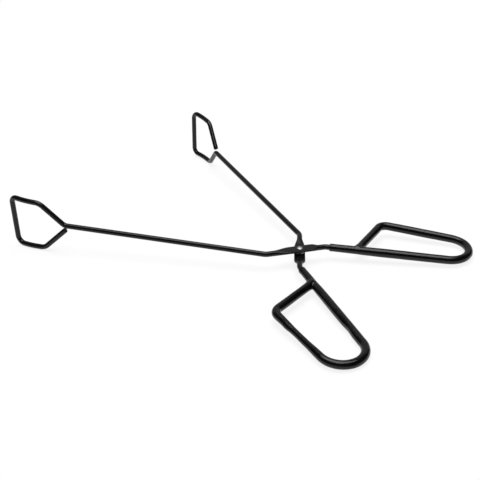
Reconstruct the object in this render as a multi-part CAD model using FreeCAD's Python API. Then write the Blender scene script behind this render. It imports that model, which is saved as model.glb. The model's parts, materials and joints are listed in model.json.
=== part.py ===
import FreeCAD, Part
import math
import os

from FreeCAD import Placement, Rotation, Vector

# Long scissor tongs: two bent steel rods of the same pattern crossing on one rivet, with dipped vinyl grips.
# Millimetres. Every piece is first made about the rivet's axis, which is Z. There the tongs' middle line
# is X, with the jaws towards +X. At the end all of it is laid down as it rests on a table.

# ---- driving dimensions ----

rod_diameter = 6.35
rod_radius = rod_diameter / 2

# pressed flat at the rivet, a little off the rod's centre and away from the other arm; lengths are measured
# from the rivet's axis
flat_width = 12.6
flat_thickness = 2.5
flat_offset = 1.1
flat_corner = 0.9
flat_crown = 0.03
round_side_angle = 8.0
taper_steps = 6
flat_full_jaw_side = 11.5
flat_end_jaw_side = 31.0
flat_full_handle_side = 15.5
flat_end_handle_side = 22.0

# rivet and spacer
rivet_radius = 2.0
rivet_head_radius = 3.4
rivet_head_rise = 1.2
rivet_head_rim = 0.5
rivet_tail_radius = 3.2
rivet_tail_height = 1.3
rivet_tail_taper = 0.7
spacer_radius = 5.0
spacer_thickness = 3.2
running_clearance = 0.08
end_play = 0.1

# shank
shank_start = 39.8
shank_bend = 28.4
shank_length = 246.2
shank_bend_radius = 12.0

# jaw loop: reach along the shank's line from its end, and height above or below it
jaw_top_back = (27.8, 27.7)
jaw_top_front = (68.3, 27.3)
jaw_bottom_front = (67.5, -35.9)
jaw_bottom_back = (28.6, -33.2)
jaw_free_end = (-0.9, -5.7)
jaw_outward_slope = 0.232
jaw_inward_curl = 0.009
jaw_curl_radius = 110.0
jaw_start_radius = 8.9
jaw_top_back_radius = 13.0
jaw_top_front_radius = 7.5
jaw_bottom_front_radius = 8.8
jaw_bottom_back_radius = 15.0
free_end_rounding = 0.7

# handle loop, measured along and out from its main leg, from the handle's bend
handle_start = 29.9
handle_bend = 25.1
handle_bend_radius = 12.5
return_bend_radius = 23.8
loop_corner_radius = 11.0
weld_root_gap = 0.3
weld_bead_radius = 4.6
weld_bead_length = 8.0

# the two loops are bent by hand and differ a little: the main leg up to the return bend, the corner, and the
# cross leg's foot on the main leg
upper_loop_sizes = (136.4, (60.0, 62.5), 36.5)
lower_loop_sizes = (141.9, (64.4, 59.7), 32.8)

# vinyl coat
coat_thickness = 1.6
coat_start = 5.3
coat_edge_rounding = 0.8
web_radius = 5.7
web_length = 11.0

# how far the tongs stand open, between the two shanks
opening = 50.0

# how they lie on a table: on the undersides of both jaws and the end of the lower handle
lying_pitch = 3.73
lying_roll = 0.44

# ---- derived values ----

flat_level = (flat_thickness + spacer_thickness + end_play) / 2
arm_level = flat_level - flat_offset
crossing = opening + 2 * shank_bend
coat_radius = rod_radius + coat_thickness
up = Vector(0, 0, 1)


def turned(degrees, radius=1.0):
    """A vector of this length in the XY plane, at this angle from +X."""
    angle = math.radians(degrees)
    return Vector(math.cos(angle) * radius, math.sin(angle) * radius, 0)


# ---- shared shapes ----

def rounded_path(points, radii):
    """A wire of straight runs through the points, with an arc of its own radius at each inner one."""
    edges = []
    run_start = points[0]
    for before, corner, after, radius in zip(points, points[1:], points[2:], radii):
        back = (before - corner).normalize()
        ahead = (after - corner).normalize()
        half_turn = (math.pi - back.getAngle(ahead)) / 2
        setback = radius * math.tan(half_turn)
        inset = radius / math.cos(half_turn) - radius
        arc_start = corner + back * setback
        arc_middle = corner + (back + ahead).normalize() * inset
        arc_end = corner + ahead * setback
        if (arc_start - run_start).Length > 0.001:
            edges.append(Part.LineSegment(run_start, arc_start).toShape())
        edges.append(Part.Arc(arc_start, arc_middle, arc_end).toShape())
        run_start = arc_end
    edges.append(Part.LineSegment(run_start, points[-1]).toShape())
    return Part.Wire(edges)


def tube_along(path, radius, start_rounding=0.0):
    """A solid round bar along a wire, with the rim of its first end rounded."""
    first = path.OrderedEdges[0]
    start = first.valueAt(first.FirstParameter)
    heading = first.tangentAt(first.FirstParameter)
    ring = Part.Wire(Part.Circle(start, heading, radius).toShape())
    bar = path.makePipeShell([ring], True, True)
    if start_rounding > 0:
        rim = [edge for edge in bar.Edges if edge.CenterOfMass.distanceToPoint(start) < 0.01]
        bar = bar.makeFillet(start_rounding, rim)
    return bar


def section_corners(share_round):
    """Five points of a quarter of the rod's outline, from its side to its top.

    They go from the pressed flat (0) to the round rod (1). Between them lie a slightly crowned half side, the
    two halves of a rounded corner and a slightly crowned half top.
    """
    side = flat_width / 2
    top = flat_thickness / 2
    corner_cut = flat_corner * (1 - math.cos(math.pi / 4))
    pressed = (
        (side, 0),
        (side - flat_crown, top - flat_corner),
        (side - corner_cut, top - corner_cut),
        (side - flat_corner, top - flat_crown),
        (0, top),
    )
    angles = (0, round_side_angle, 45, 90 - round_side_angle, 90)
    quarter = [turned(angle, rod_radius) for angle in angles]
    return [
        (flat[0] + (point.x - flat[0]) * share_round, flat[1] + (point.y - flat[1]) * share_round)
        for flat, point in zip(pressed, quarter)
    ]


def rod_section(x, share_round):
    """The rod's closed outline across X, made of eight arcs."""
    corners = section_corners(share_round)
    middle_level = arm_level + flat_offset * (1 - share_round)
    outline = []
    for side, level, order in ((1, 1, 1), (-1, 1, -1), (-1, -1, 1), (1, -1, -1)):
        quarter = [Vector(x, side * y, middle_level + level * z) for y, z in corners[::order]]
        outline += quarter[:-1]
    outline = outline[1:] + outline[:1]
    arcs = []
    for number in range(0, len(outline), 2):
        begin, middle = outline[number], outline[number + 1]
        end = outline[(number + 2) % len(outline)]
        arcs.append(Part.Arc(begin, middle, end).toShape())
    return Part.Wire(arcs)


def pressed_taper(x_full, x_round):
    """The stretch where the pressed flat runs out into the round rod."""
    sections = []
    for step in range(taper_steps + 1):
        share = step / taper_steps
        eased = share * share * (3 - 2 * share)
        sections.append(rod_section(x_full + (x_round - x_full) * share, eased))
    return Part.makeLoft(sections, True, False)


# ---- one arm's lines ----

shank_heading = turned(-shank_bend)
inward = turned(-shank_bend - 90)
shank_corner = Vector(shank_start, 0, arm_level)
shank_end = shank_corner + shank_heading * shank_length

leg_heading = turned(180 - handle_bend)
outward = turned(270 - handle_bend)
handle_corner = Vector(-handle_start, 0, arm_level)


def jaw_point(reach, height):
    """A point of the jaw loop. The loop leans outward first and then curls in towards the other jaw."""
    inset = reach * (jaw_inward_curl * reach / 2 - jaw_outward_slope) if reach > 0 else 0.0
    return shank_end + shank_heading * reach + inward * inset + up * height


def between(first, second):
    return tuple((a + b) / 2 for a, b in zip(first, second))


def handle_point(along, out):
    return handle_corner + leg_heading * along + outward * out


def jaw_and_shank_path():
    points = [
        jaw_point(*jaw_free_end),
        jaw_point(*jaw_bottom_back),
        jaw_point(*between(jaw_bottom_back, jaw_bottom_front)),
        jaw_point(*jaw_bottom_front),
        jaw_point(*jaw_top_front),
        jaw_point(*between(jaw_top_front, jaw_top_back)),
        jaw_point(*jaw_top_back),
        shank_end,
        shank_corner,
        Vector(flat_end_jaw_side, 0, arm_level),
    ]
    radii = [
        jaw_bottom_back_radius,
        jaw_curl_radius,
        jaw_bottom_front_radius,
        jaw_top_front_radius,
        jaw_curl_radius,
        jaw_top_back_radius,
        jaw_start_radius,
        shank_bend_radius,
    ]
    return rounded_path(points, radii)


class HandleLoop:
    """The lines of one closed handle loop, from the pressed flat round to the weld."""

    def __init__(self, main_leg, corner, foot):
        # the return bend ends where the line from the corner is tangent to it
        corner_along = corner[0] - main_leg
        corner_out = corner[1] - return_bend_radius
        corner_distance = math.hypot(corner_along, corner_out)
        tangent = math.atan2(corner_out, corner_along) - math.acos(return_bend_radius / corner_distance)
        heading = (tangent + math.pi / 2) / 2
        setback = return_bend_radius * math.tan(heading / 2)
        first_bend = (main_leg + setback, 0)
        second_bend = (first_bend[0] + 2 * setback * math.cos(heading), 2 * setback * math.sin(heading))
        self.bends = [handle_point(*first_bend), handle_point(*second_bend)]
        self.corner = handle_point(*corner)
        self.foot = handle_point(foot, 0)
        self.return_middle = (self.bends[1] + self.corner) * 0.5
        self.cross_heading = (self.foot - self.corner).normalize()
        self.cross_slope = self.cross_heading.getAngle(leg_heading)
        end_height = rod_radius + rod_radius * abs(math.cos(self.cross_slope)) + weld_root_gap
        self.rod_end = self.foot - self.cross_heading * (end_height / math.sin(self.cross_slope))

    def rod_path(self):
        flat_end = Vector(-flat_end_handle_side, 0, arm_level)
        points = [flat_end, handle_corner, *self.bends, self.corner, self.rod_end]
        radii = [handle_bend_radius, return_bend_radius, return_bend_radius, loop_corner_radius]
        return rounded_path(points, radii)

    def coat_paths(self):
        """The coat's centreline in two stretches that meet halfway along the return leg."""
        main = [handle_point(coat_start, 0), *self.bends, self.return_middle]
        back = [self.return_middle, self.corner, self.foot]
        return (
            rounded_path(main, [return_bend_radius, return_bend_radius]),
            rounded_path(back, [loop_corner_radius]),
        )


# ---- pieces, in one arm's own place ----

def make_rod(loop, hole_radius):
    """One arm: a single rod, bent at both ends and pressed flat round its rivet hole."""
    jaw_and_shank = tube_along(jaw_and_shank_path(), rod_radius, free_end_rounding)
    handle = tube_along(loop.rod_path(), rod_radius)
    jaw_taper = pressed_taper(flat_full_jaw_side, flat_end_jaw_side)
    handle_taper = pressed_taper(-flat_full_handle_side, -flat_end_handle_side)
    flat_end = Part.Face(rod_section(-flat_full_handle_side, 0))
    flat = flat_end.extrude(Vector(flat_full_handle_side + flat_full_jaw_side, 0, 0))
    rod = jaw_and_shank.fuse([jaw_taper, flat, handle_taper, handle])
    hole = Part.makeCylinder(hole_radius, rod_diameter, Vector(0, 0, flat_level - rod_radius))
    return rod.cut(hole)


def make_weld(loop, rod):
    """The bead round the rod's end, where it is welded to its own main leg."""
    bead_start = loop.foot - loop.cross_heading * (rod_radius / 2)
    bead = Part.makeCone(weld_bead_radius, rod_radius, weld_bead_length, bead_start, loop.cross_heading * -1)
    return bead.cut(rod)


def make_grip(loop, rod, weld):
    """The dipped coat: a skin over the whole handle loop, thicker where the cross leg meets the main leg."""
    main_path, back_path = loop.coat_paths()
    main = tube_along(main_path, coat_radius, coat_edge_rounding)
    back = tube_along(back_path, coat_radius)
    web = Part.makeCone(web_radius, coat_radius, web_length, loop.foot, loop.cross_heading * -1)
    return main.fuse([back, web]).cut(rod.fuse(weld))


def make_spacer():
    base = Vector(0, 0, flat_level - flat_thickness / 2 - spacer_thickness)
    ring = Part.makeCylinder(spacer_radius, spacer_thickness, base)
    return ring.cut(Part.makeCylinder(rivet_radius, spacer_thickness, base))


def make_rivet():
    """Domed head on top, shank through both flats and a formed head below, turned about the axis."""
    head_base = flat_level + flat_thickness / 2
    rim_top = head_base + rivet_head_rim
    crown = rim_top + rivet_head_rise
    dome_radius = (rivet_head_radius ** 2 + rivet_head_rise ** 2) / (2 * rivet_head_rise)
    slope = math.asin(rivet_head_radius / dome_radius) / 2
    shoulder = Vector(dome_radius * math.sin(slope), 0, crown - dome_radius * (1 - math.cos(slope)))
    tail_top = -head_base - end_play
    tail_bottom = tail_top - rivet_tail_height
    corners = [
        Vector(0, 0, crown),
        Vector(0, 0, tail_bottom),
        Vector(rivet_tail_radius - rivet_tail_taper, 0, tail_bottom),
        Vector(rivet_tail_radius, 0, tail_bottom + rivet_tail_taper),
        Vector(rivet_tail_radius, 0, tail_top),
        Vector(rivet_radius, 0, tail_top),
        Vector(rivet_radius, 0, head_base),
        Vector(rivet_head_radius, 0, head_base),
        Vector(rivet_head_radius, 0, rim_top),
    ]
    edges = [Part.LineSegment(a, b).toShape() for a, b in zip(corners, corners[1:])]
    edges.append(Part.Arc(corners[-1], shoulder, corners[0]).toShape())
    return Part.Face(Part.Wire(edges)).revolve(Vector(), up, 360)


# ---- the tongs ----

def make_pieces():
    """Every piece about the rivet's axis, opened by the driving angle."""
    upper_turn = Placement(Vector(), Rotation(up, crossing / 2))
    turned_over = Placement(Vector(), Rotation(Vector(1, 0, 0), 180))
    lower_turn = Placement(Vector(), Rotation(up, -crossing / 2)).multiply(turned_over)
    pieces = {"pivot_rivet": make_rivet(), "spacer_washer": make_spacer()}
    arms = (
        ("upper", upper_turn, upper_loop_sizes, rivet_radius),
        ("lower", lower_turn, lower_loop_sizes, rivet_radius + running_clearance),
    )
    for name, place, loop_sizes, hole_radius in arms:
        loop = HandleLoop(*loop_sizes)
        rod = make_rod(loop, hole_radius)
        weld = make_weld(loop, rod)
        grip = make_grip(loop, rod, weld)
        for kind, shape in (("arm", rod), ("weld", weld), ("grip", grip)):
            shape.Placement = place.multiply(shape.Placement)
            pieces[f"{name}_{kind}"] = shape
    return pieces


def lying_place(pieces):
    """Tips the tongs onto the table and sets the origin under the middle of the whole."""
    pitch = Rotation(Vector(0, 1, 0), -lying_pitch)
    roll = Rotation(Vector(1, 0, 0), lying_roll)
    tipped = Placement(Vector(), pitch.multiply(roll))
    everything = Part.makeCompound([shape.copy() for shape in pieces.values()])
    everything.Placement = tipped
    box = everything.optimalBoundingBox(False, False)
    to_origin = Vector(-(box.XMin + box.XMax) / 2, -(box.YMin + box.YMax) / 2, -box.ZMin)
    return Placement(to_origin, tipped.Rotation)


if __name__ == "__main__":
    os.makedirs("parts", exist_ok=True)
    tongs = make_pieces()
    place = lying_place(tongs)
    for node, shape in tongs.items():
        shape.Placement = place.multiply(shape.Placement)
        shape.exportStep(f"parts/{node}.step")
        print(f"{node}: {len(shape.Solids)} solid, {shape.Volume:.0f} mm3, valid {shape.isValid()}")
    print("rivet axis at", place.Base, "along", place.Rotation.multVec(up))
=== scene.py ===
import json
import math

import bmesh
import bpy
from mathutils import Matrix, Vector, noise


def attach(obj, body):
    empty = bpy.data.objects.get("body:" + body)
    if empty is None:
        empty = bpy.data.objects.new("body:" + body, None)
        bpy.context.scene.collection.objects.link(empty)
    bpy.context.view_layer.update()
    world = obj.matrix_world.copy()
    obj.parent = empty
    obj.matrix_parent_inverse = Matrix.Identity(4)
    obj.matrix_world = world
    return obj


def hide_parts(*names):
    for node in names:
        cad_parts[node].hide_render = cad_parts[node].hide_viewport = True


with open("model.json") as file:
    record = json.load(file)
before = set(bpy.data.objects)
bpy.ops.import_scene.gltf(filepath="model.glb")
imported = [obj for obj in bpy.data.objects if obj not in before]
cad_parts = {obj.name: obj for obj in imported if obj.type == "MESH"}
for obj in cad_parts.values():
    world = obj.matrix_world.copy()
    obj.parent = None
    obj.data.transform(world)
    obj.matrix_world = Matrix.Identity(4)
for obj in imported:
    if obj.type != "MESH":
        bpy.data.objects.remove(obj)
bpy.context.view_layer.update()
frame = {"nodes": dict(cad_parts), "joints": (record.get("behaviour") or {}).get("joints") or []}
print("frame loaded,", len(frame["nodes"]), "nodes")

# Sizes are in millimetres and angles in degrees. Each arm is modelled about the rivet, whose axis is Z,
# with the jaw towards +X. It is then put in its place by a matrix that also turns millimetres into metres.
mm = 0.001
up = Vector((0, 0, 1))
hair = 0.001          # a run shorter than this is left out, and points this close are one


def heading(degrees):
    angle = math.radians(degrees)
    return Vector((math.cos(angle), math.sin(angle), 0))


def eased(share):
    share = min(max(share, 0), 1)
    return share * share * (3 - 2 * share)


def mix(first, second, share):
    return first + (second - first) * share


def linearColour(hexColour):
    channels = [int(hexColour[start:start + 2], 16) / 255 for start in (1, 3, 5)]
    linear = [c / 12.92 if c <= 0.04045 else ((c + 0.055) / 1.055) ** 2.4 for c in channels]
    return (*linear, 1)


def objectFrom(bm, name):
    mesh = bpy.data.meshes.new(name)
    bm.to_mesh(mesh)
    bm.free()
    obj = bpy.data.objects.new(name, mesh)
    bpy.context.scene.collection.objects.link(obj)
    return obj


# the mesh that an object's modifiers give, as a new bmesh; the object itself goes
def takeResult(obj):
    bpy.context.view_layer.update()
    evaluated = obj.evaluated_get(bpy.context.evaluated_depsgraph_get())
    mesh = bpy.data.meshes.new_from_object(evaluated)
    bm = bmesh.new()
    bm.from_mesh(mesh)
    bpy.data.meshes.remove(mesh)
    bpy.data.objects.remove(obj)
    return bm


def cutAway(bm, cutterBm):
    body = objectFrom(bm, "body")
    cutter = objectFrom(cutterBm, "cutter")
    cut = body.modifiers.new("cut", "BOOLEAN")
    cut.operation = "DIFFERENCE"
    cut.solver = "EXACT"
    cut.object = cutter
    result = takeResult(body)
    bpy.data.objects.remove(cutter)
    return result


def finishPiece(bm, name, place, material, body, node, sharpAngle=40):
    bmesh.ops.transform(bm, matrix=place, verts=bm.verts)
    bmesh.ops.recalc_face_normals(bm, faces=bm.faces)
    piece = objectFrom(bm, name)
    piece.data.shade_smooth()
    piece.data.set_sharp_from_angle(angle=math.radians(sharpAngle))
    piece.data.materials.clear()
    piece.data.materials.append(material)
    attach(piece, body)
    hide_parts(node)
    return piece


# where the tongs lie

tongs = {"opening": 50.0, "shankBend": 28.4}   # between the shanks, and each shank's own bend

joint = frame["joints"][0]
rivetAxis = Vector(joint["axis"]).normalized()
middleLine = Vector((rivetAxis.z, 0, -rivetAxis.x)).normalized()
acrossLine = rivetAxis.cross(middleLine)
rivetPlace = Matrix.Translation(Vector(joint["pos_m"]))
rivetPlace @= Matrix((middleLine, acrossLine, rivetAxis)).transposed().to_4x4() @ Matrix.Scale(mm, 4)
halfCrossing = math.radians(tongs["opening"] / 2 + tongs["shankBend"])
upperPlace = rivetPlace @ Matrix.Rotation(halfCrossing, 4, "Z")
lowerPlace = rivetPlace @ Matrix.Rotation(-halfCrossing, 4, "Z") @ Matrix.Rotation(math.pi, 4, "X")


# routes: straight runs joined by arcs

def placeOn(piece, along):
    travelled = along - piece["start"]
    if not piece["radius"]:
        return piece["place"] @ Matrix.Translation((0, 0, travelled))
    centre = Matrix.Translation(piece["centre"])
    turn = Matrix.Rotation(travelled / piece["radius"], 4, piece["axis"])
    return centre @ turn @ centre.inverted() @ piece["place"]


def addPiece(route, place, length, radius=0, axis=None):
    if length < hair:
        return place
    start = route[-1]["end"] if route else 0
    piece = {"start": start, "end": start + length, "place": place, "radius": radius, "axis": axis}
    if radius:
        piece["centre"] = place.translation + axis.cross(place.col[2].to_3d()) * radius
    route.append(piece)
    return placeOn(piece, piece["end"])


def plotRoute(points, radii):
    ahead = (points[1] - points[0]).normalized()
    place = Matrix.Translation(points[0]) @ ahead.to_track_quat("Z", "Y").to_matrix().to_4x4()
    route = []
    for before, corner, after, radius in zip(points, points[1:], points[2:], radii):
        ahead = (corner - before).normalized()
        leaving = (after - corner).normalized()
        turn = ahead.angle(leaving)
        run = (corner - place.translation).length - radius * math.tan(turn / 2)
        place = addPiece(route, place, run)
        place = addPiece(route, place, radius * turn, radius, ahead.cross(leaving).normalized())
    addPiece(route, place, (points[-1] - place.translation).length)
    return route


def pieceAt(route, along):
    for piece in route:
        if along <= piece["end"]:
            return piece
    return route[-1]


# rolls the whole route so that its own Y points up where the route is at this place
def levelRoute(route, along):
    place = placeOn(pieceAt(route, along), along)
    upThere = place.to_3x3().transposed() @ up
    roll = Matrix.Rotation(math.atan2(-upThere.x, upThere.y), 4, "Z")
    for piece in route:
        piece["place"] = piece["place"] @ roll


def ringPlaces(route, step, turnStep):
    places = []
    for piece in route:
        length = piece["end"] - piece["start"]
        count = math.ceil(length / step)
        if piece["radius"]:
            count = max(count, math.ceil(length / piece["radius"] / math.radians(turnStep)))
        places += [piece["start"] + length * number / count for number in range(1, count + 1)]
    return places


# the rings that round off the start of a tube
def rimPlaces(rounding):
    return [rounding * (1 - math.cos(math.radians(turn))) for turn in range(0, 91, 18)]


# a straight closed tube of radius 1 up the Z axis, with a ring of points at each place
def straightTube(places, sides):
    bm = bmesh.new()
    bmesh.ops.create_circle(bm, cap_ends=True, segments=sides, radius=1)
    bmesh.ops.translate(bm, vec=up * places[0], verts=bm.verts)
    edges = bm.edges[:]
    for below, place in zip(places, places[1:]):
        grown = bmesh.ops.extrude_edge_only(bm, edges=edges)["geom"]
        ring = [part for part in grown if isinstance(part, bmesh.types.BMVert)]
        edges = [part for part in grown if isinstance(part, bmesh.types.BMEdge)]
        bmesh.ops.translate(bm, vec=up * (place - below), verts=ring)
    bmesh.ops.contextual_create(bm, geom=edges)
    return bm


def bendAlong(bm, route, squeeze):
    for vert in bm.verts:
        along = vert.co.z
        piece = pieceAt(route, along)
        place = placeOn(piece, along)
        spot = Vector((vert.co.x, vert.co.y, 0))
        if piece["radius"]:
            share = (along - piece["start"]) / (piece["end"] - piece["start"])
            inward = place.to_3x3().transposed() @ (piece["centre"] - place.translation).normalized()
            spot -= inward * spot.dot(inward) * squeeze / piece["radius"] * math.sin(math.pi * share)
        vert.co = place @ spot


# the arms: one bar each, pressed flat at the rivet, punched and bent

bar = {
    "radius": 3.175,
    "flatWidth": 12.6,
    "flatThickness": 2.5,
    "flatOffset": 1.1,          # how far the flat is off the bar's centre, away from the other arm
    "flatCorner": 1.0,
    "flatCrown": 3.0,           # higher leaves the pressed faces flatter
    "jawSideFull": 11.5,        # from the rivet to where the flat is full width, and where it has run out
    "jawSideEnd": 31.0,
    "handleSideFull": 15.5,
    "handleSideEnd": 22.0,
    "endRounding": 0.9,         # the cut end's rounded rim
    "bendSqueeze": 0.35,        # how far a bend flattens the bar, for a bend of 1 mm radius
    "punchLength": 9,
    "punchSides": 64,
    "sides": 48,
    "ringStep": 2.2,
    "turnStep": 6.0,
}

rivetStack = {"spacer": 3.2, "endPlay": 0.1, "runningClearance": 0.08}
flatLevel = (bar["flatThickness"] + rivetStack["spacer"] + rivetStack["endPlay"]) / 2
armLevel = flatLevel - bar["flatOffset"]

shank = {"start": 39.8, "length": 246.2, "bendRadius": 12.0}   # it starts this far from the rivet

jaw = {
    "topBack": (27.8, 27.7),        # reach past the shank's end, and height
    "topFront": (68.3, 27.3),
    "bottomFront": (67.5, -35.9),
    "bottomBack": (28.6, -33.2),
    "freeEnd": (-0.9, -5.7),
    "outwardSlope": 0.232,
    "inwardCurl": 0.009,
    "curlRadius": 110.0,
    "startRadius": 8.9,
    "topBackRadius": 13.0,
    "topFrontRadius": 7.5,
    "bottomFrontRadius": 8.8,
    "bottomBackRadius": 15.0,
}

handle = {
    "start": 29.9,                  # from the rivet to the bend that starts the handle
    "bend": 25.1,
    "bendRadius": 12.5,
    "returnRadius": 23.8,
    "cornerRadius": 11.0,
    "rootGap": 0.3,                 # between the bar's cut end and the main leg, for the weld
}

# The loops are bent by hand and differ a little. The corner is along the main leg from the handle's bend,
# and out from it, and the foot is where the cross leg meets the main leg.
upperLoop = {"mainLeg": 136.4, "corner": (60.0, 62.5), "foot": 36.5}
lowerLoop = {"mainLeg": 141.9, "corner": (64.4, 59.7), "foot": 32.8}

shankHeading = heading(-tongs["shankBend"])
inward = heading(-tongs["shankBend"] - 90)
shankCorner = Vector((shank["start"], 0, armLevel))
shankEnd = shankCorner + shankHeading * shank["length"]
legHeading = heading(180 - handle["bend"])
outward = heading(270 - handle["bend"])
handleCorner = Vector((-handle["start"], 0, armLevel))


def jawPoint(reach, height):
    inset = reach * (jaw["inwardCurl"] * reach / 2 - jaw["outwardSlope"]) if reach > 0 else 0
    return shankEnd + shankHeading * reach + inward * inset + up * height


def halfway(first, second):
    return [(a + b) / 2 for a, b in zip(first, second)]


def handlePoint(along, out):
    return handleCorner + legHeading * along + outward * out


# the return bend is two equal corners, turned until the return leg meets the loop's corner as a tangent
def plotLoop(loop):
    radius = handle["returnRadius"]
    cornerAlong = loop["corner"][0] - loop["mainLeg"]
    cornerOut = loop["corner"][1] - radius
    tangent = math.atan2(cornerOut, cornerAlong) - math.acos(radius / math.hypot(cornerAlong, cornerOut))
    turn = tangent + math.pi / 2
    setback = radius * math.tan(turn / 4)
    first = (loop["mainLeg"] + setback, 0)
    second = (first[0] + 2 * setback * math.cos(turn / 2), 2 * setback * math.sin(turn / 2))
    corner = handlePoint(*loop["corner"])
    foot = handlePoint(loop["foot"], 0)
    crossHeading = (foot - corner).normalized()
    slope = crossHeading.angle(legHeading)
    endHeight = bar["radius"] * (1 + abs(math.cos(slope))) + handle["rootGap"]
    return {
        "corners": [handlePoint(*first), handlePoint(*second), corner],
        "foot": foot,
        "crossHeading": crossHeading,
        "barEnd": foot - crossHeading * endHeight / math.sin(slope),
    }


loopRadii = [handle["returnRadius"], handle["returnRadius"], handle["cornerRadius"]]


def barRoute(loop):
    points = [
        jawPoint(*jaw["freeEnd"]),
        jawPoint(*jaw["bottomBack"]),
        jawPoint(*halfway(jaw["bottomBack"], jaw["bottomFront"])),
        jawPoint(*jaw["bottomFront"]),
        jawPoint(*jaw["topFront"]),
        jawPoint(*halfway(jaw["topFront"], jaw["topBack"])),
        jawPoint(*jaw["topBack"]),
        shankEnd,
        shankCorner,
        handleCorner,
        *loop["corners"],
        loop["barEnd"],
    ]
    radii = [
        jaw["bottomBackRadius"],
        jaw["curlRadius"],
        jaw["bottomFrontRadius"],
        jaw["topFrontRadius"],
        jaw["curlRadius"],
        jaw["topBackRadius"],
        jaw["startRadius"],
        shank["bendRadius"],
        handle["bendRadius"],
        *loopRadii,
    ]
    return plotRoute(points, radii)


# how far along the route the rivet is: the run between the shank's bend and the handle's bend lies along
# the X axis and crosses X = 0
def rivetAlong(route):
    offAxis = 0.01
    for piece in route:
        first = piece["place"].translation
        last = placeOn(piece, piece["end"]).translation
        if first.x > 0 > last.x and abs(first.y) < offAxis and not piece["radius"]:
            return piece["start"] + first.x


# the pressed section: a round of the corner's radius carried along a wide, low rectangle
def pressedSpot(side, rise):
    corner = bar["flatCorner"]
    halfRun = bar["flatWidth"] / 2 - corner
    halfRise = bar["flatThickness"] / 2 - corner
    sideShare = min(max(side * bar["flatCrown"], -1), 1)
    riseShare = min(max(rise * bar["flatCrown"], -1), 1)
    return side * corner + sideShare * halfRun, rise * corner + riseShare * halfRise


def shapeBar(bm, rivetAt):
    for vert in bm.verts:
        fromRivet = rivetAt - vert.co.z
        if fromRivet > 0:
            full, end = bar["jawSideFull"], bar["jawSideEnd"]
        else:
            full, end = bar["handleSideFull"], bar["handleSideEnd"]
        roundShare = eased((abs(fromRivet) - full) / (end - full))
        pressed = pressedSpot(vert.co.x, vert.co.y)
        past = max(bar["endRounding"] - vert.co.z, 0)
        radius = bar["radius"] - bar["endRounding"] + math.sqrt(bar["endRounding"] ** 2 - past ** 2)
        vert.co.x = mix(pressed[0], vert.co.x * radius, roundShare)
        vert.co.y = mix(pressed[1] + bar["flatOffset"], vert.co.y * radius, roundShare)


def makeBar(loop, holeRadius):
    route = barRoute(loop)
    rivetAt = rivetAlong(route)
    levelRoute(route, rivetAt)
    rings = rimPlaces(bar["endRounding"]) + ringPlaces(route, bar["ringStep"], bar["turnStep"])[1:]
    bm = straightTube(rings, bar["sides"])
    shapeBar(bm, rivetAt)
    punch = bmesh.new()
    bmesh.ops.create_cone(
        punch, cap_ends=True, segments=bar["punchSides"], radius1=holeRadius, radius2=holeRadius,
        depth=bar["punchLength"])
    bmesh.ops.rotate(punch, matrix=Matrix.Rotation(math.pi / 2, 3, "X"), verts=punch.verts)
    bmesh.ops.translate(punch, vec=up * rivetAt, verts=punch.verts)
    bm = cutAway(bm, punch)
    # each point's place on the straight bar, for patterns that follow the bar round its bends
    barPlace = bm.verts.layers.float_vector.new("barPlace")
    for vert in bm.verts:
        vert[barPlace] = vert.co
    bendAlong(bm, route, bar["bendSqueeze"])
    return bm


# the grips: a thick vinyl skin left by dipping the handle loop

grip = {
    "start": 5.3,
    "edgeRounding": 0.9,
    "lip": 0.18,                 # the swollen edge where the dip stopped
    "lipLength": 2.2,
    "webRadius": 5.6,            # the vinyl pooled in the corner where the cross leg meets the main leg
    "webLength": 12.0,
    "webMiddle": 4.5,            # back from the foot, and how far around it the corner is smoothed
    "webReach": 8.5,
    "longWave": (0.13, 13.0),    # uneven thickness: height and length
    "shortWave": (0.045, 4.5),
    "sides": 40,
    "ringStep": 1.2,
    "turnStep": 5.0,
    "voxel": 0.5,
    "webSmoothing": 14,
    "coreLead": 3,               # how far the bar's space runs on before the coat starts
    "sharpAngle": 60,
}

# Each coat's radius is given at its start, at the middle of the main leg, of both halves of the return
# bend, of the return leg, the corner and the cross leg, and at the foot. Its lumps and hollows have a place
# along the coat, an angle from the loop's inner side towards the top, a height, a length and a width.
upperCoat = {
    "radii": (4.4, 5.05, 4.72, 4.65, 4.9, 4.85, 4.75, 4.7),
    "seed": 3.0,
    "lumps": ((162.0, 180, 0.35, 1.5, 16),),
}

lowerCoat = {
    "radii": (4.15, 4.95, 4.7, 4.55, 3.6, 4.7, 4.7, 4.7),
    "seed": 11.0,
    "lumps": (
        (112.0, 0, -0.95, 8.0, 60),
        (174.0, 180, 0.3, 8.0, 35),
        (262.0, 180, 0.7, 6.0, 50),
    ),
}


def coatRoute(loop):
    route = plotRoute([handlePoint(grip["start"], 0), *loop["corners"], loop["foot"]], loopRadii)
    levelRoute(route, 0)
    return route


def coatRadiusAt(route, radii, along):
    marks = [0] + [(piece["start"] + piece["end"]) / 2 for piece in route] + [route[-1]["end"]]
    for first, last, before, after in zip(marks, marks[1:], radii, radii[1:]):
        if along <= last:
            return mix(before, after, eased((along - first) / (last - first)))
    return radii[-1]


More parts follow.
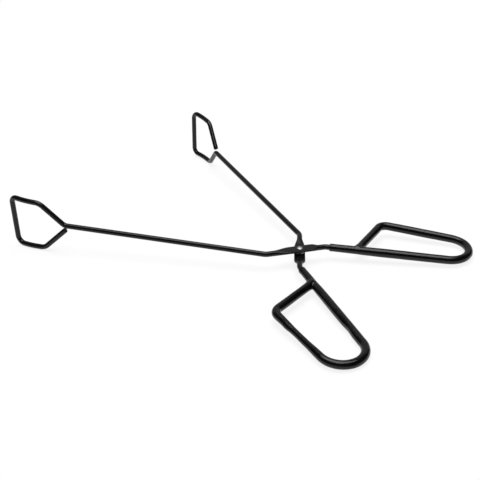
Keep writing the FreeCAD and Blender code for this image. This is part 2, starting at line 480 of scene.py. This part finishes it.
def shapeCoat(bm, route, coat):
    offset = Vector((coat["seed"], coat["seed"] * 2, coat["seed"] * 3))
    for vert in bm.verts:
        along = vert.co.z
        around = math.degrees(math.atan2(vert.co.y, vert.co.x))
        radius = coatRadiusAt(route, coat["radii"], along)
        radius += grip["lip"] * math.exp(-(along / grip["lipLength"]) ** 2)
        for place, angle, height, length, width in coat["lumps"]:
            offAngle = (around - angle + 180) % 360 - 180
            radius += height * math.exp(-((along - place) / length) ** 2 - (offAngle / width) ** 2)
        spot = Vector((vert.co.x * radius, vert.co.y * radius, along))
        for height, length in (grip["longWave"], grip["shortWave"]):
            radius += height * noise.noise(spot / length + offset)
        past = max(grip["edgeRounding"] - along, 0)
        radius += math.sqrt(grip["edgeRounding"] ** 2 - past ** 2) - grip["edgeRounding"]
        vert.co.x *= radius
        vert.co.y *= radius


def smoothPoints(bm, points):
    bmesh.ops.smooth_vert(bm, verts=points, factor=0.5, use_axis_x=True, use_axis_y=True, use_axis_z=True)


def makeCoat(loop, coat):
    route = coatRoute(loop)
    rings = rimPlaces(grip["edgeRounding"]) + ringPlaces(route, grip["ringStep"], grip["turnStep"])[1:]
    bm = straightTube(rings, grip["sides"])
    shapeCoat(bm, route, coat)
    bendAlong(bm, route, 0)
    web = bmesh.ops.create_cone(
        bm, cap_ends=True, segments=grip["sides"], radius1=coat["radii"][-1], radius2=grip["webRadius"],
        depth=grip["webLength"])
    webPlace = Matrix.Translation(loop["foot"] - loop["crossHeading"] * grip["webLength"] / 2)
    webPlace @= loop["crossHeading"].to_track_quat("Z", "Y").to_matrix().to_4x4()
    bmesh.ops.transform(bm, matrix=webPlace, verts=web["verts"])
    blank = objectFrom(bm, "blank")
    voxels = blank.modifiers.new("voxels", "REMESH")
    voxels.mode = "VOXEL"
    voxels.voxel_size = grip["voxel"]
    bm = takeResult(blank)
    smoothPoints(bm, bm.verts)
    webCentre = loop["foot"] - loop["crossHeading"] * grip["webMiddle"]
    nearWeb = [vert for vert in bm.verts if (vert.co - webCentre).length < grip["webReach"]]
    for repeat in range(grip["webSmoothing"]):
        smoothPoints(bm, nearWeb)
    return cutAway(bm, makeCore(loop))


# the bar's own space inside the coat
def makeCore(loop):
    start = handlePoint(grip["start"] - grip["coreLead"], 0)
    route = plotRoute([start, *loop["corners"], loop["barEnd"]], loopRadii)
    levelRoute(route, 0)
    core = straightTube([0] + ringPlaces(route, bar["ringStep"], bar["turnStep"]), bar["sides"])
    for vert in core.verts:
        vert.co.x *= bar["radius"]
        vert.co.y *= bar["radius"]
    bendAlong(core, route, bar["bendSqueeze"])
    return core


# the rivet and its spacer, turned about Z

rivet = {
    "radius": 2.0,
    "headRadius": 3.4,
    "headRise": 1.2,
    "headRim": 0.5,
    "setRadius": 0.9,           # the dimple left by the riveting punch
    "setDepth": 0.1,
    "setEdge": 0.5,             # the share of that radius over which the dimple is flat
    "tailRadius": 3.2,
    "tailHeight": 1.3,
    "tailTaper": 0.7,
    "edgeBevel": 0.14,
    "domeSteps": 12,
    "steps": 72,
}

spacer = {"radius": 5.0, "edgeBevel": 0.12, "steps": 72}


# spins a closed outline of (radius, height) points round Z; the points that are on the axis close the poles
def turnOutline(outline, steps):
    bm = bmesh.new()
    verts = [bm.verts.new((radius, 0, height)) for radius, height in outline]
    for first, second in zip(verts, verts[1:]):
        bm.edges.new((first, second))
    if outline[0][0] > 0:
        bm.edges.new((verts[-1], verts[0]))
    bmesh.ops.spin(
        bm, geom=bm.verts[:] + bm.edges[:], cent=(0, 0, 0), axis=(0, 0, 1), angle=math.tau, steps=steps,
        use_merge=True)
    bmesh.ops.remove_doubles(bm, verts=bm.verts, dist=hair)
    bmesh.ops.recalc_face_normals(bm, faces=bm.faces)
    return bm


def roundEdges(bm, width, sharperThan=30):
    edges = [edge for edge in bm.edges if edge.calc_face_angle(0) > math.radians(sharperThan)]
    bmesh.ops.bevel(
        bm, geom=edges, offset=width, offset_type="OFFSET", affect="EDGES", segments=3, profile=0.5,
        material=-1, clamp_overlap=True)


def makeRivet():
    headBase = flatLevel + bar["flatThickness"] / 2
    rimTop = headBase + rivet["headRim"]
    crown = rimTop + rivet["headRise"]
    domeRadius = (rivet["headRadius"] ** 2 + rivet["headRise"] ** 2) / (2 * rivet["headRise"])
    domeTurn = math.asin(rivet["headRadius"] / domeRadius)
    outline = []
    for step in range(rivet["domeSteps"] + 1):
        turn = domeTurn * step / rivet["domeSteps"]
        radius = domeRadius * math.sin(turn)
        height = crown - domeRadius * (1 - math.cos(turn))
        height -= rivet["setDepth"] * (1 - eased(radius / rivet["setRadius"] - rivet["setEdge"]))
        outline.append((radius, height))
    tailTop = -headBase - rivetStack["endPlay"]
    tailBottom = tailTop - rivet["tailHeight"]
    outline += [
        (rivet["headRadius"], headBase),
        (rivet["radius"], headBase),
        (rivet["radius"], tailTop),
        (rivet["tailRadius"], tailTop),
        (rivet["tailRadius"], tailBottom + rivet["tailTaper"]),
        (rivet["tailRadius"] - rivet["tailTaper"], tailBottom),
        (rivet["setRadius"], tailBottom),
        (0, tailBottom + rivet["setDepth"]),
    ]
    bm = turnOutline(outline, rivet["steps"])
    roundEdges(bm, rivet["edgeBevel"])
    return bm


def makeSpacer():
    top = flatLevel - bar["flatThickness"] / 2
    bottom = top - rivetStack["spacer"]
    outline = [
        (spacer["radius"], top),
        (spacer["radius"], bottom),
        (rivet["radius"], bottom),
        (rivet["radius"], top),
    ]
    bm = turnOutline(outline, spacer["steps"])
    roundEdges(bm, spacer["edgeBevel"])
    return bm


# materials

def addNode(tree, kind, values=None, links=None, **settings):
    node = tree.nodes.new(kind)
    for name, value in settings.items():
        setattr(node, name, value)
    for socket, value in (values or {}).items():
        node.inputs[socket].default_value = value
    for socket, source in (links or {}).items():
        tree.links.new(source, node.inputs[socket])
    return node


def newTree(name):
    material = bpy.data.materials.new(name)
    material.use_nodes = True
    material.node_tree.nodes.clear()
    return material, material.node_tree


# values for a noise with grains of this many millimetres, over a place in metres
def grain(size, detail=3, roughness=0.5):
    return {"Scale": 1 / (size * mm), "Detail": detail, "Roughness": roughness}


# the same for broad cloudy patches
def cloud(size):
    return grain(size, 4, 0.6)


# values that stretch the middle of a noise, where nearly all of it is, to a new span
def spread(low=0, high=1, fromLow=0.3, fromHigh=0.7):
    return {"From Min": fromLow, "From Max": fromHigh, "To Min": low, "To Max": high}


# A mix node has an A and a B for each kind of data, so its colours go by number: 6 and 7 in, and 2 out.
def twoColours(first, second):
    return {6: linearColour(first), 7: linearColour(second)}


mixedColour = 2


def bumpOf(depth):
    return {"Strength": 1, "Distance": depth * mm}


# Satin black stoving enamel over drawn steel bar: nearly black, a soft broad highlight, a fine orange peel,
# and under it the faint lengthwise lines of the drawn bar.
paint = {
    "colour": "#0c090a",
    "thinColour": "#191517",     # where the coat is thin over the lines
    "roughness": (0.20, 0.30),
    "ior": 1.5,
    "specular": 0.3,             # carbon black all through it leaves a weaker gloss than clear enamel
    "patch": 18.0,
    "lineWidth": 0.35,
    "lineLength": 60.0,
    "peel": 0.9,
    "peelDepth": 0.012,
    "lineDepth": 0.010,
}


def makePaint():
    material, tree = newTree("satin_black_stoving_enamel")
    where = addNode(tree, "ShaderNodeTexCoord").outputs["Object"]
    onBar = addNode(tree, "ShaderNodeAttribute", attribute_name="barPlace").outputs["Vector"]
    lineScale = (1 / paint["lineWidth"], 1 / paint["lineWidth"], 1 / paint["lineLength"])
    stretched = addNode(tree, "ShaderNodeMapping", {"Scale": lineScale}, {"Vector": onBar})
    lines = addNode(
        tree, "ShaderNodeTexNoise", {"Scale": 1, "Detail": 2}, {"Vector": stretched.outputs["Vector"]})
    patches = addNode(tree, "ShaderNodeTexNoise", cloud(paint["patch"]), {"Vector": where})
    peel = addNode(tree, "ShaderNodeTexNoise", grain(paint["peel"], 2), {"Vector": where})
    overPatches = addNode(tree, "ShaderNodeMapRange", spread(), {"Value": patches.outputs["Fac"]})
    overLines = addNode(tree, "ShaderNodeMapRange", spread(), {"Value": lines.outputs["Fac"]})
    thin = addNode(
        tree, "ShaderNodeMath", None,
        {0: overPatches.outputs["Result"], 1: overLines.outputs["Result"]}, operation="MULTIPLY")
    colour = addNode(
        tree, "ShaderNodeMix", twoColours(paint["colour"], paint["thinColour"]),
        {"Factor": thin.outputs["Value"]}, data_type="RGBA")
    roughness = addNode(
        tree, "ShaderNodeMapRange", spread(*paint["roughness"]), {"Value": patches.outputs["Fac"]})
    lineBump = addNode(tree, "ShaderNodeBump", bumpOf(paint["lineDepth"]), {"Height": lines.outputs["Fac"]})
    peelBump = addNode(
        tree, "ShaderNodeBump", bumpOf(paint["peelDepth"]),
        {"Height": peel.outputs["Fac"], "Normal": lineBump.outputs["Normal"]})
    shader = addNode(
        tree, "ShaderNodeBsdfPrincipled", {"IOR": paint["ior"], "Specular IOR Level": paint["specular"]},
        {
            "Base Color": colour.outputs[mixedColour],
            "Roughness": roughness.outputs["Result"],
            "Normal": peelBump.outputs["Normal"],
        })
    addNode(tree, "ShaderNodeOutputMaterial", None, {"Surface": shader.outputs["BSDF"]})
    return material


# Plasticised vinyl from a dip tank: a wet-looking black skin with slow waves, a few matt patches from
# handling and pinholes where bubbles broke.
vinyl = {
    "colour": "#060607",
    "bloomColour": "#0d0d0e",    # the grey bloom of plasticiser
    "roughness": (0.16, 0.26),
    "ior": 1.54,
    "specular": 0.3,             # filled with carbon black, as the paint is
    "patch": 26.0,
    "wave": 7.0,
    "waveDepth": 0.08,
    "skin": 0.9,
    "skinDepth": 0.004,
    "pinholeSpacing": 7.0,
    "pinholeRim": (0.02, 0.07),  # from a hole's floor to its rim, as shares of the spacing
    "pinholeDepth": 0.06,
}


def makeVinyl():
    material, tree = newTree("black_dipped_vinyl")
    where = addNode(tree, "ShaderNodeTexCoord").outputs["Object"]
    patches = addNode(tree, "ShaderNodeTexNoise", cloud(vinyl["patch"]), {"Vector": where})
    waves = addNode(tree, "ShaderNodeTexNoise", grain(vinyl["wave"], 1), {"Vector": where})
    skin = addNode(tree, "ShaderNodeTexNoise", grain(vinyl["skin"], 2), {"Vector": where})
    cells = addNode(
        tree, "ShaderNodeTexVoronoi", {"Scale": 1 / (vinyl["pinholeSpacing"] * mm)}, {"Vector": where})
    holes = addNode(
        tree, "ShaderNodeMapRange", spread(0, 1, *vinyl["pinholeRim"]), {"Value": cells.outputs["Distance"]})
    bloom = addNode(tree, "ShaderNodeMapRange", spread(), {"Value": patches.outputs["Fac"]})
    colour = addNode(
        tree, "ShaderNodeMix", twoColours(vinyl["colour"], vinyl["bloomColour"]),
        {"Factor": bloom.outputs["Result"]}, data_type="RGBA")
    roughness = addNode(
        tree, "ShaderNodeMapRange", spread(*vinyl["roughness"]), {"Value": patches.outputs["Fac"]})
    waveBump = addNode(tree, "ShaderNodeBump", bumpOf(vinyl["waveDepth"]), {"Height": waves.outputs["Fac"]})
    skinBump = addNode(
        tree, "ShaderNodeBump", bumpOf(vinyl["skinDepth"]),
        {"Height": skin.outputs["Fac"], "Normal": waveBump.outputs["Normal"]})
    holeBump = addNode(
        tree, "ShaderNodeBump", bumpOf(vinyl["pinholeDepth"]),
        {"Height": holes.outputs["Result"], "Normal": skinBump.outputs["Normal"]})
    shader = addNode(
        tree, "ShaderNodeBsdfPrincipled", {"IOR": vinyl["ior"], "Specular IOR Level": vinyl["specular"]},
        {
            "Base Color": colour.outputs[mixedColour],
            "Roughness": roughness.outputs["Result"],
            "Normal": holeBump.outputs["Normal"],
        })
    addNode(tree, "ShaderNodeOutputMaterial", None, {"Surface": shader.outputs["BSDF"]})
    return material


# Bright zinc plate on cold-headed steel: pale grey metal, turned rings from the die, blurred reflections.
zinc = {
    "colour": "#c4c1c3",
    "dullColour": "#a09da0",
    "roughness": (0.42, 0.55),
    "patch": 1.6,
    "ring": 0.16,
    "ringDepth": 0.006,
}

# Passivated zinc on a turned spacer: greener and duller, with the rings that the lathe tool left.
spacerZinc = {
    "colour": "#8f9690",
    "dullColour": "#6f7671",
    "roughness": (0.38, 0.55),
    "patch": 2.2,
    "ring": 0.30,
    "ringDepth": 0.010,
}


def makeZinc(name, finish):
    material, tree = newTree(name)
    where = addNode(tree, "ShaderNodeTexCoord").outputs["Object"]
    # distance from the rivet's axis: the place as the rivet sees it, with its height taken out
    rivetPose = {"Location": rivetPlace.translation, "Rotation": rivetPlace.to_euler()}
    fromRivet = addNode(tree, "ShaderNodeMapping", rivetPose, {"Vector": where}, vector_type="TEXTURE")
    flatPlace = addNode(
        tree, "ShaderNodeVectorMath", {1: (1, 1, 0)}, {0: fromRivet.outputs["Vector"]}, operation="MULTIPLY")
    distance = addNode(
        tree, "ShaderNodeVectorMath", None, {0: flatPlace.outputs["Vector"]}, operation="LENGTH")
    rings = addNode(
        tree, "ShaderNodeTexNoise", {"Scale": 1 / (finish["ring"] * mm), "Detail": 1},
        {"W": distance.outputs["Value"]}, noise_dimensions="1D")
    patches = addNode(tree, "ShaderNodeTexNoise", cloud(finish["patch"]), {"Vector": where})
    dull = addNode(tree, "ShaderNodeMapRange", spread(), {"Value": patches.outputs["Fac"]})
    colour = addNode(
        tree, "ShaderNodeMix", twoColours(finish["colour"], finish["dullColour"]),
        {"Factor": dull.outputs["Result"]}, data_type="RGBA")
    roughness = addNode(
        tree, "ShaderNodeMapRange", spread(*finish["roughness"]), {"Value": patches.outputs["Fac"]})
    ringBump = addNode(tree, "ShaderNodeBump", bumpOf(finish["ringDepth"]), {"Height": rings.outputs["Fac"]})
    patchBump = addNode(
        tree, "ShaderNodeBump", bumpOf(finish["ringDepth"]),
        {"Height": patches.outputs["Fac"], "Normal": ringBump.outputs["Normal"]})
    shader = addNode(
        tree, "ShaderNodeBsdfPrincipled", {"Metallic": 1},
        {
            "Base Color": colour.outputs[mixedColour],
            "Roughness": roughness.outputs["Result"],
            "Normal": patchBump.outputs["Normal"],
        })
    addNode(tree, "ShaderNodeOutputMaterial", None, {"Surface": shader.outputs["BSDF"]})
    return material


# Steel as welded: dark oxide with straw and blue heat colours, and the ripples of the weld pool.
weldSteel = {
    "colour": "#4a4644",
    "heatColour": "#6b5a4a",
    "roughness": (0.45, 0.7),
    "metallic": 0.8,             # the oxide hides some of the metal
    "patch": 3.0,
    "ripple": 1.3,
    "rippleDistortion": 2.5,
    "rippleDepth": 0.12,
}


def makeWeldSteel():
    material, tree = newTree("as_welded_steel")
    where = addNode(tree, "ShaderNodeTexCoord").outputs["Object"]
    patches = addNode(tree, "ShaderNodeTexNoise", cloud(weldSteel["patch"]), {"Vector": where})
    bandSpacing = 0.314   # of a wave texture at scale 1
    waveValues = {
        "Scale": bandSpacing / (weldSteel["ripple"] * mm),
        "Distortion": weldSteel["rippleDistortion"],
        "Detail": 2,
    }
    ripples = addNode(tree, "ShaderNodeTexWave", waveValues, {"Vector": where})
    heat = addNode(tree, "ShaderNodeMapRange", spread(), {"Value": patches.outputs["Fac"]})
    colour = addNode(
        tree, "ShaderNodeMix", twoColours(weldSteel["colour"], weldSteel["heatColour"]),
        {"Factor": heat.outputs["Result"]}, data_type="RGBA")
    roughness = addNode(
        tree, "ShaderNodeMapRange", spread(*weldSteel["roughness"]), {"Value": patches.outputs["Fac"]})
    rippleBump = addNode(
        tree, "ShaderNodeBump", bumpOf(weldSteel["rippleDepth"]), {"Height": ripples.outputs["Fac"]})
    patchBump = addNode(
        tree, "ShaderNodeBump", bumpOf(weldSteel["rippleDepth"]),
        {"Height": patches.outputs["Fac"], "Normal": rippleBump.outputs["Normal"]})
    shader = addNode(
        tree, "ShaderNodeBsdfPrincipled", {"Metallic": weldSteel["metallic"]},
        {
            "Base Color": colour.outputs[mixedColour],
            "Roughness": roughness.outputs["Result"],
            "Normal": patchBump.outputs["Normal"],
        })
    addNode(tree, "ShaderNodeOutputMaterial", None, {"Surface": shader.outputs["BSDF"]})
    return material


# the pieces

enamel = makePaint()
dippedVinyl = makeVinyl()
brightZinc = makeZinc("bright_zinc_plate", zinc)
dullZinc = makeZinc("passivated_zinc_spacer", spacerZinc)
weldedSteel = makeWeldSteel()
print("materials made")

runningHoleRadius = rivet["radius"] + rivetStack["runningClearance"]
halves = (
    ("upper", upperPlace, "upper_half", rivet["radius"], plotLoop(upperLoop), upperCoat),
    ("lower", lowerPlace, "lower_half", runningHoleRadius, plotLoop(lowerLoop), lowerCoat),
)
for side, place, body, holeRadius, loop, coat in halves:
    armBar = makeBar(loop, holeRadius)
    finishPiece(armBar, f"{side}_arm_bar", place, enamel, body, f"{side}_arm")
    print(side, "arm bent")
    gripCoat = makeCoat(loop, coat)
    finishPiece(
        gripCoat, f"{side}_grip_coat", place, dippedVinyl, body, f"{side}_grip",
        grip["sharpAngle"])
    print(side, "grip dipped")
    weld = frame["nodes"][f"{side}_weld"]
    weld.data.materials.clear()
    weld.data.materials.append(weldedSteel)

finishPiece(makeRivet(), "domed_rivet", rivetPlace, brightZinc, "upper_half", "pivot_rivet")
finishPiece(
    makeSpacer(), "round_spacer", rivetPlace, dullZinc, "upper_half", "spacer_washer")
print("rivet and spacer turned")


# studio

studio = {
    "floorColour": "#6b6b6b",
    "fibreColour": "#6f6f6f",
    "floorRoughness": 0.9,
    "floorSpecular": 0.2,
    "floorGlow": 0.86,             # keeps the shadows on the floor soft and pale
    "fibre": 3.0,                  # millimetres, as its depth is
    "fibreDepth": 0.02,
    "floorSize": 12.0,             # metres, as the lights' sizes and places are
    # each light: its width and height, its place, the point it faces, and its glow in watts per steradian
    # and square metre
    "lights": (
        ("overhead_softbox", (2.6, 2.6), (0.1, -0.1, 3.0), (0.1, -0.1, 0.0), 4.6),
        ("back_wall", (9.0, 3.6), (2.2, -2.4, 1.9), (0.0, 0.0, 0.9), 0.42),
    ),
    "worldColour": "#ffffff",
    "worldStrength": 0.02,
}


def makeStudio():
    bm = bmesh.new()
    bmesh.ops.create_grid(bm, x_segments=4, y_segments=4, size=studio["floorSize"] / 2)
    floor = objectFrom(bm, "studio_floor")
    material, tree = newTree("pale_studio_paper")   # matt background paper with the faintest fibre
    where = addNode(tree, "ShaderNodeTexCoord").outputs["Object"]
    fibre = addNode(tree, "ShaderNodeTexNoise", grain(studio["fibre"]), {"Vector": where})
    colour = addNode(
        tree, "ShaderNodeMix", twoColours(studio["floorColour"], studio["fibreColour"]),
        {"Factor": fibre.outputs["Fac"]}, data_type="RGBA")
    bump = addNode(tree, "ShaderNodeBump", bumpOf(studio["fibreDepth"]), {"Height": fibre.outputs["Fac"]})
    constants = {
        "Roughness": studio["floorRoughness"],
        "Specular IOR Level": studio["floorSpecular"],
        "Emission Color": linearColour("#ffffff"),
        "Emission Strength": studio["floorGlow"],
    }
    shader = addNode(
        tree, "ShaderNodeBsdfPrincipled", constants,
        {"Base Color": colour.outputs[mixedColour], "Normal": bump.outputs["Normal"]})
    addNode(tree, "ShaderNodeOutputMaterial", None, {"Surface": shader.outputs["BSDF"]})
    floor.data.materials.append(material)

    for name, size, place, target, glow in studio["lights"]:
        light = bpy.data.lights.new(name, "AREA")
        light.shape = "RECTANGLE"
        light.size, light.size_y = size
        light.energy = glow * math.pi * size[0] * size[1]
        lamp = bpy.data.objects.new(name, light)
        aim = Vector(target) - Vector(place)
        lamp.matrix_world = Matrix.Translation(place) @ aim.to_track_quat("-Z", "Y").to_matrix().to_4x4()
        bpy.context.scene.collection.objects.link(lamp)

    world = bpy.data.worlds.new("studio")
    world.use_nodes = True
    background = world.node_tree.nodes["Background"]
    background.inputs["Color"].default_value = linearColour(studio["worldColour"])
    background.inputs["Strength"].default_value = studio["worldStrength"]
    bpy.context.scene.world = world
    bpy.context.scene.view_settings.view_transform = "Standard"


shot = {
    "place": (-0.5589, 0.6369, 0.4866),
    "lookAt": (-0.0036, 0.0175, 0.0150),
    "roll": -3.652,
    "focalLength": 61.12,
    "sensorWidth": 36.0,
}


def makeCamera():
    lens = bpy.data.cameras.new("shot")
    lens.lens = shot["focalLength"]
    lens.sensor_width = shot["sensorWidth"]
    camera = bpy.data.objects.new("shot", lens)
    aim = Vector(shot["lookAt"]) - Vector(shot["place"])
    turn = aim.to_track_quat("-Z", "Y").to_matrix() @ Matrix.Rotation(math.radians(shot["roll"]), 3, "Z")
    camera.matrix_world = Matrix.Translation(shot["place"]) @ turn.to_4x4()
    bpy.context.scene.collection.objects.link(camera)
    bpy.context.scene.camera = camera


makeStudio()
makeCamera()
print("studio and camera set")
